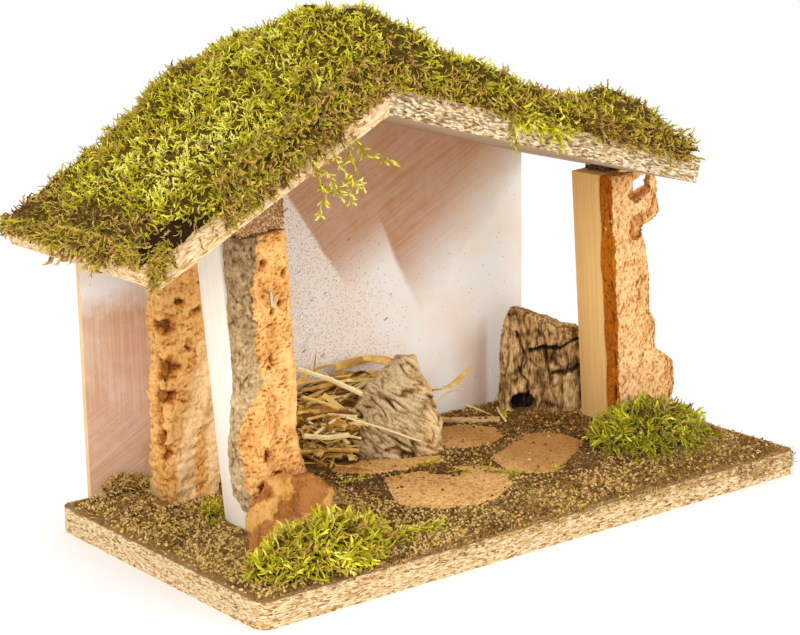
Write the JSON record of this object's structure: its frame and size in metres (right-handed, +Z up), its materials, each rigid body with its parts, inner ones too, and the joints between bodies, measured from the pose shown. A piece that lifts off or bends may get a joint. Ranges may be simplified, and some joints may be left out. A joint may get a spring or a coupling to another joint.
{
  "type": "nativity stable",
  "caption": "Open wooden crib stable: chipboard base and gabled moss roof on cork-clad posts, painted back wall, straw, bark and cork paving.",
  "frame": {"origin": "centre of the underside of the rectangular base board, on the table", "axes": "+X to the right seen from the open front, +Y to the back wall, +Z up"},
  "size_m": [0.3488, 0.164, 0.2385],
  "materials": {
    "chipboard": "raw chipboard, pressed flakes",
    "painted_hardboard": "thin white spray paint over brushed pink-brown",
    "pale_batten": "planed softwood",
    "golden_batten": "planed softwood",
    "cork_bark": "cork bark, rough and pitted",
    "cork_slab": "cork, porous face with a darker sawn edge",
    "cork_tile": "sheet cork",
    "smooth_bark": "smooth inner bark",
    "grey_bark": "fissured grey bark",
    "bark_chips": "glued dark bark crumbs",
    "pale_wood": "raw wood",
    "straw": "dry straw",
    "dry_crumbs": "crumbled dry moss in glue",
    "moss": "preserved moss, matt",
    "dry_moss": "brown dry moss, matt",
    "steel": "bright wire"
  },
  "bodies": {
    "root": {"base_board": "chipboard", "ground_litter": "dry_crumbs", "flagstone_front": "cork_tile", "flagstone_right": "cork_tile", "flagstone_left": "cork_tile", "flagstone_back": "cork_tile", "floor_strip": "pale_wood", "back_wall": "painted_hardboard", "roof_board_left": "chipboard", "roof_board_right": "chipboard", "left_post": "pale_batten", "left_post_cork": "cork_bark", "left_post_packing": "bark_chips", "left_post_foot_bark": "smooth_bark", "right_post": "golden_batten", "right_post_cork": "cork_slab", "right_post_packing": "bark_chips", "rear_cork": "cork_bark", "rear_cork_block": "pale_wood", "bark_block": "grey_bark", "bark_wedge": "grey_bark", "straw_bed": "straw", "roof_moss_left": "moss", "roof_moss_right": "moss", "moss_front_left": "moss", "moss_right": "moss", "moss_post_tuft": "moss", "moss_wall_tuft": "dry_moss", "base_nails": "steel", "roof_nails": "steel", "cork_staple": "steel"}
  },
  "joints": []
}
